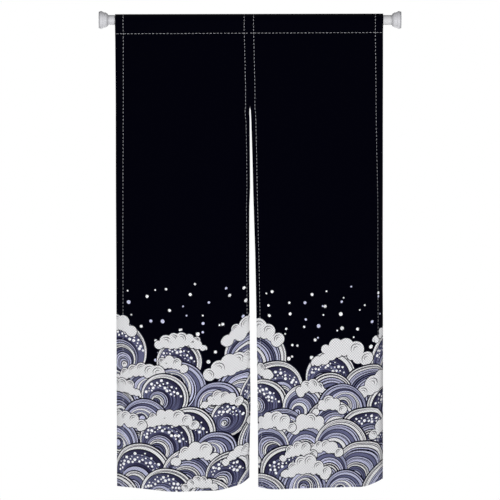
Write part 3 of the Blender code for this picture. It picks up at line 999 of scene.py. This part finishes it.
def spread(tree, value, low, high, start=0.3, end=0.7, **settings):
    """Spreads a value from its own range, which is about 0.5 if nothing is said, over another."""
    inputs = {"Value": value, "From Min": start, "From Max": end, "To Min": low, "To Max": high}
    return add_node(tree, "ShaderNodeMapRange", inputs, **settings).outputs[0]


def mixed(tree, share, first, second, **settings):
    inputs = {0: share, 6: first, 7: second}
    return add_node(tree, "ShaderNodeMix", inputs, data_type="RGBA", **settings).outputs[2]


def tinted(tree, colour, tone):
    """A colour made lighter or darker by a tone that lies about 1."""
    grey = add_node(tree, "ShaderNodeCombineColor", {0: tone, 1: tone, 2: tone}).outputs[0]
    return mixed(tree, 1.0, colour, grey, blend_type="MULTIPLY")


def bump(tree, height, strength, distance, **under):
    inputs = {"Height": height, "Strength": strength, "Distance": distance, **under}
    return add_node(tree, "ShaderNodeBump", inputs).outputs[0]


def new_group(name, inputs, outputs):
    """An empty node group. An input is a number that has a default, or a vector where that is None."""
    tree = bpy.data.node_groups.new(name, "ShaderNodeTree")
    for socket, default in inputs.items():
        kind = "NodeSocketVector" if default is None else "NodeSocketFloat"
        made = tree.interface.new_socket(name=socket, in_out="INPUT", socket_type=kind)
        if default is not None:
            made.default_value = default
    for socket in outputs:
        tree.interface.new_socket(name=socket, in_out="OUTPUT", socket_type="NodeSocketFloat")
    return tree, tree.nodes.new("NodeGroupInput").outputs, tree.nodes.new("NodeGroupOutput")


def use_group(tree, group, inputs=None):
    return add_node(tree, "ShaderNodeGroup", inputs, node_tree=group).outputs


def new_material(name):
    material = bpy.data.materials.new(name)
    material.use_nodes = True
    return material, material.node_tree, material.node_tree.nodes["Principled BSDF"]


WEAVE = 0.0009
MOTTLE = 0.0084
MOTTLE_DEPTH = 0.32
SEAM_GROOVE = 0.0012
SEAM_GATHERS = 0.006
# Painted shade in the corners at the caps' mouths: how far it reaches, and the tone where it is darkest.
CORNER_SHADE_REACH = 0.008
CORNER_SHADE_TONE = 0.72
SHOWS_THROUGH = 0.45
BARE_BACK = (0.045, 0.044, 0.052, 1.0)
PALE_THREAD = ("pale sewing thread", (0.440, 0.440, 0.472, 1.0))
DARK_THREAD = ("dark sewing thread", (0.008, 0.007, 0.013, 1.0))


@cache
def weave_group():
    """Plain weave: threads that pass over and under each other, uneven in thickness and in dye."""
    tree, given, result = new_group("plain weave", {"Place": None}, ["Height", "Tone"])
    place = given["Place"]
    wander = noise(tree, place, 45.0, 2.0)
    sway = {0: wander["Color"], 1: (0.0012, 0.0012, 0.0), 2: place}
    flat = axes(tree, add_node(tree, "ShaderNodeVectorMath", sway, operation="MULTIPLY_ADD").outputs[0])
    turns = [maths(tree, "DIVIDE", flat[axis], WEAVE) for axis in "XY"]
    swells = [maths(tree, "ABSOLUTE", maths(tree, "SINE", product(tree, turn, math.pi))) for turn in turns]
    cells = maths(tree, "ADD", *[maths(tree, "FLOOR", turn) for turn in turns])
    over = maths(tree, "GREATER_THAN", maths(tree, "PINGPONG", cells, 1.0), 0.5)
    height = add_node(tree, "ShaderNodeMix", {0: over, 2: swells[0], 3: swells[1]}).outputs[0]
    ways = (stretched(tree, place, 1.0, 14.0), stretched(tree, place, 14.0, 1.0))
    slubs = [noise(tree, way, 75.0, 3.0)[0] for way in ways]
    fleck = noise(tree, stretched(tree, place, 1.0, 2.4, angle=42), 330.0, 1.0)[0]
    dye = maths(tree, "MULTIPLY_ADD", fleck, 1.6, maths(tree, "ADD", *slubs))
    # The thick and thin threads of both ways meet in a mottle a few threads wide, in some places more.
    waves = [maths(tree, "COSINE", maths(tree, "DIVIDE", flat[axis], MOTTLE / math.tau)) for axis in "XY"]
    mottle = product(tree, *waves, spread(tree, wander[0], 0.2, 1.8))
    tone = maths(tree, "MULTIPLY_ADD", mottle, MOTTLE_DEPTH, maths(tree, "DIVIDE", dye, 3.6))
    fill_in(tree, result, {"Height": height, "Tone": tone})
    return tree


@cache
def seam_group():
    """The pull of a line of stitches: a narrow groove, and small gathers beside it."""
    inputs = {"Across": 0.0, "Line": 0.0, "Along": 0.0}
    tree, given, result = new_group("line of stitches", inputs, ["Height"])
    away = apart(tree, given["Across"], given["Line"])
    groove, reach = (
        maths(tree, "SUBTRACT", 1.0, maths(tree, "DIVIDE", away, width), clamp=True)
        for width in (SEAM_GROOVE, SEAM_GATHERS)
    )
    waves = maths(tree, "SINE", product(tree, given["Along"], math.tau / STITCH_PITCH))
    gather = product(tree, waves, maths(tree, "POWER", reach, 2.0))
    height = maths(tree, "MULTIPLY_ADD", gather, 0.25, product(tree, groove, -1.0))
    fill_in(tree, result, {"Height": height})
    return tree


@cache
def speckle_group():
    """Fine grain and larger cloudiness of a moulded or painted surface, both about 0.5."""
    inputs = {"Grain": 900.0, "Cloudiness": 40.0}
    tree, given, result = new_group("surface grain", inputs, ["Grain", "Clouds"])
    place = add_node(tree, "ShaderNodeTexCoord").outputs["Object"]
    grain, clouds = noise(tree, place, given["Grain"], 2.0), noise(tree, place, given["Cloudiness"], 4.0)
    fill_in(tree, result, {"Grain": grain[0], "Clouds": clouds[0]})
    return tree


@cache
def corner_shade_group():
    """How much painted shade darkens the white of the rod in the corners at the caps' mouths, where the
    neck goes into the cone.
    """
    tree, _, result = new_group("painted shade in the corners", {}, ["Tone"])
    along = axes(tree, add_node(tree, "ShaderNodeTexCoord").outputs["Object"])["X"]
    from_middle = apart(tree, along, ROD_LENGTH / 2)
    from_mouth = apart(tree, ROD_LENGTH / 2 - CAP_MOUTH, from_middle)
    tone = spread(tree, from_mouth, CORNER_SHADE_TONE, 1.0, 0.0, CORNER_SHADE_REACH, interpolation_type="SMOOTHSTEP")
    fill_in(tree, result, {"Tone": tone})
    return tree


@cache
def cloth_material(name, behind):
    """Matt plain weave, its ink from the cloth's own colours. The ink reaches the back only in part."""
    material, tree, shader = new_material(name)
    ink = add_node(tree, "ShaderNodeAttribute", attribute_name="Ink").outputs["Color"]
    place = add_node(tree, "ShaderNodeUVMap", uv_map="Cloth").outputs[0]
    weave = use_group(tree, weave_group(), {"Place": place})
    if behind:
        ink = mixed(tree, SHOWS_THROUGH, ink, BARE_BACK)
    across, up, _ = axes(tree, place)
    pull = 0.0
    for at, line, along in (
        (across, SIDE_SEAM, up),
        (across, WIDTH - SLIT_SEAM, up),
        (up, BOTTOM_SEAM, across),
        (up, NEAR_SEAM, across),
    ):
        seam = use_group(tree, seam_group(), {"Across": at, "Line": line, "Along": along})
        pull = maths(tree, "ADD", pull, seam["Height"])
    puckered = bump(tree, pull, 0.6, 0.0006)
    look = {
        "Base Color": tinted(tree, ink, spread(tree, weave["Tone"], 0.74, 1.22)),
        "Roughness": spread(tree, weave["Tone"], 0.84, 0.96),
        "Specular IOR Level": 0.02,
        "Sheen Weight": 0.03,
        "Normal": bump(tree, weave["Height"], 0.35, 0.00025, Normal=puckered),
    }
    fill_in(tree, shader, look)
    return material


@cache
def thread_material(name, colour):
    """Twisted thread."""
    material, tree, shader = new_material(name)
    grain = use_group(tree, speckle_group(), {"Grain": 2600.0, "Cloudiness": 160.0})
    run, around, _ = axes(tree, add_node(tree, "ShaderNodeUVMap", uv_map="Thread").outputs[0])
    turn = product(tree, maths(tree, "MULTIPLY_ADD", run, 900.0, around), math.tau)
    look = {
        "Base Color": tinted(tree, colour, spread(tree, grain["Clouds"], 0.85, 1.1)),
        "Roughness": 0.7,
        "Specular IOR Level": 0.25,
        "Sheen Weight": 0.1,
        "Normal": bump(tree, maths(tree, "SINE", turn), 0.6, 0.0002),
    }
    fill_in(tree, shader, look)
    return material


def hard_material(name, colour, roughness, grain, depth, coat=0.0, specular=0.5, shaded_corners=False):
    """A moulded or painted finish: slightly cloudy colour and fine grain, with painted shade in the corners
    at the caps' mouths if asked for.
    """
    material, tree, shader = new_material(name)
    surface = use_group(tree, speckle_group(), {"Grain": grain, "Cloudiness": 45.0})
    tone = spread(tree, surface["Clouds"], 0.96, 1.03)
    # Painted shade in the corners at the caps' mouths.
    if shaded_corners:
        tone = product(tree, tone, use_group(tree, corner_shade_group())["Tone"])
    look = {
        "Base Color": tinted(tree, (*colour, 1.0), tone),
        "Roughness": spread(tree, surface["Clouds"], roughness * 0.85, roughness * 1.25),
        "Specular IOR Level": specular,
        "Coat Weight": coat,
        "Normal": bump(tree, surface["Grain"], 0.5, depth),
    }
    fill_in(tree, shader, look)
    return material


# ---- The stage ----

FLOOR_LEVEL = -1.92
FLOOR_RADIUS = 1.45
FLOOR_GLOW = (0.40, 0.40, 0.40, 1.0)
BLACK = (0.0, 0.0, 0.0, 1.0)
WHITE = (1.0, 1.0, 1.0, 1.0)
LOW_LIGHT = 0.4
OVERHEAD_LIGHT = 0.16


def add_floor():
    centre = (VIEW_CENTRE[0], 0, FLOOR_LEVEL)
    bpy.ops.mesh.primitive_circle_add(vertices=96, radius=FLOOR_RADIUS, fill_type="NGON", location=centre)
    floor = just_added("floor")
    pale = hard_material("pale floor", (0.80, 0.80, 0.79), 0.6, 300.0, 0.0002, specular=0.2)
    tree = pale.node_tree
    # The floor looks lighter than the light that it gives off.
    seen = add_node(tree, "ShaderNodeLightPath").outputs[0]
    glow = {"Emission Color": mixed(tree, seen, BLACK, FLOOR_GLOW), "Emission Strength": 1.0}
    fill_in(tree, tree.nodes["Principled BSDF"], glow)
    floor.data.materials.append(pale)


def add_light(name, place, aim, size, power):
    light = add_object(name, bpy.data.lights.new(name, "AREA"))
    light.data.shape, light.data.size, light.data.energy = "DISK", size, power
    light.location = place
    light.rotation_euler = (Vector(aim) - Vector(place)).to_track_quat("-Z", "Y").to_euler()


def add_world():
    """White all round. As a light it is dimmer than it looks, most of all overhead."""
    world = bpy.data.worlds.new("white studio")
    world.use_nodes = True
    tree = world.node_tree
    tree.nodes.clear()
    seen = add_node(tree, "ShaderNodeBackground", {"Color": WHITE})
    rise = axes(tree, add_node(tree, "ShaderNodeTexCoord").outputs["Generated"])["Z"]
    strength = spread(tree, rise, LOW_LIGHT, OVERHEAD_LIGHT, -0.3, 0.9)
    lit = add_node(tree, "ShaderNodeBackground", {"Color": WHITE, "Strength": strength})
    path = add_node(tree, "ShaderNodeLightPath").outputs["Is Camera Ray"]
    mix = add_node(tree, "ShaderNodeMixShader", {0: path, 1: lit.outputs[0], 2: seen.outputs[0]})
    add_node(tree, "ShaderNodeOutputWorld", {"Surface": mix.outputs[0]})
    bpy.context.scene.world = world


add_camera()
add_world()
add_floor()
add_light("front softbox", (0.48, -3.1, -0.95), (0.48, 0, -0.70), 2.4, 84)
add_light("back softbox", (0.48, 1.7, -1.60), (0.48, 0, -1.20), 1.2, 10)
bpy.context.scene.view_settings.view_transform = "Standard"

# The enamel and the plastic take painted shade in the corners at the caps' mouths.
enamel = hard_material("white enamel", (0.70, 0.70, 0.72), 0.28, 700.0, 0.00003, coat=0.3, shaded_corners=True)
plastic = hard_material("white satin plastic", (0.66, 0.66, 0.69), 0.42, 1500.0, 0.00004, shaded_corners=True)
rubber = hard_material("pale grey rubber", (0.52, 0.52, 0.54), 0.75, 2200.0, 0.00008, specular=0.3)

inner_tube = make_tube("inner_tube", CAP_FLOOR + GAP, INNER_TUBE_END, INNER_TUBE_R, INNER_TUBE_WALL, enamel)
right_end = ROD_LENGTH - CAP_FLOOR - GAP
outer_tube = make_tube("outer_tube", OUTER_TUBE_MOUTH, right_end, OUTER_TUBE_R, OUTER_TUBE_WALL, enamel)
rod_pieces = [(inner_tube, "rod_inner_tube", "tube"), (outer_tube, "rod_outer_tube", "tube")]
for side in ("left", "right"):
    cap = make_end_piece("cap", side, cap_outline(side), plastic, edge_round=0.00035)
    pad = make_end_piece("pad", side, PAD_OUTLINE, rubber, edge_round=0.00015)
    rod_pieces += [(cap, f"end_cap_{side}", "cap"), (pad, f"end_pad_{side}", "pad")]
for piece, node, slot in rod_pieces:
    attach(piece, "root")
    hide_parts(node)

outlines = print_outlines()
bar_tack = make_bar_tack()
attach(bar_tack, "root")
for panel in (
    Panel("left", LEFT_EDGES, LEFT_SHOWN, LEFT_HEM),
    Panel("right", RIGHT_EDGES, RIGHT_SHOWN, RIGHT_HEM),
):
    cloth = make_panel(panel, outlines)
    stitching = make_stitching(panel)
    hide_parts(f"panel_{panel.side}")
    for piece in (cloth, stitching):
        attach(piece, "root")
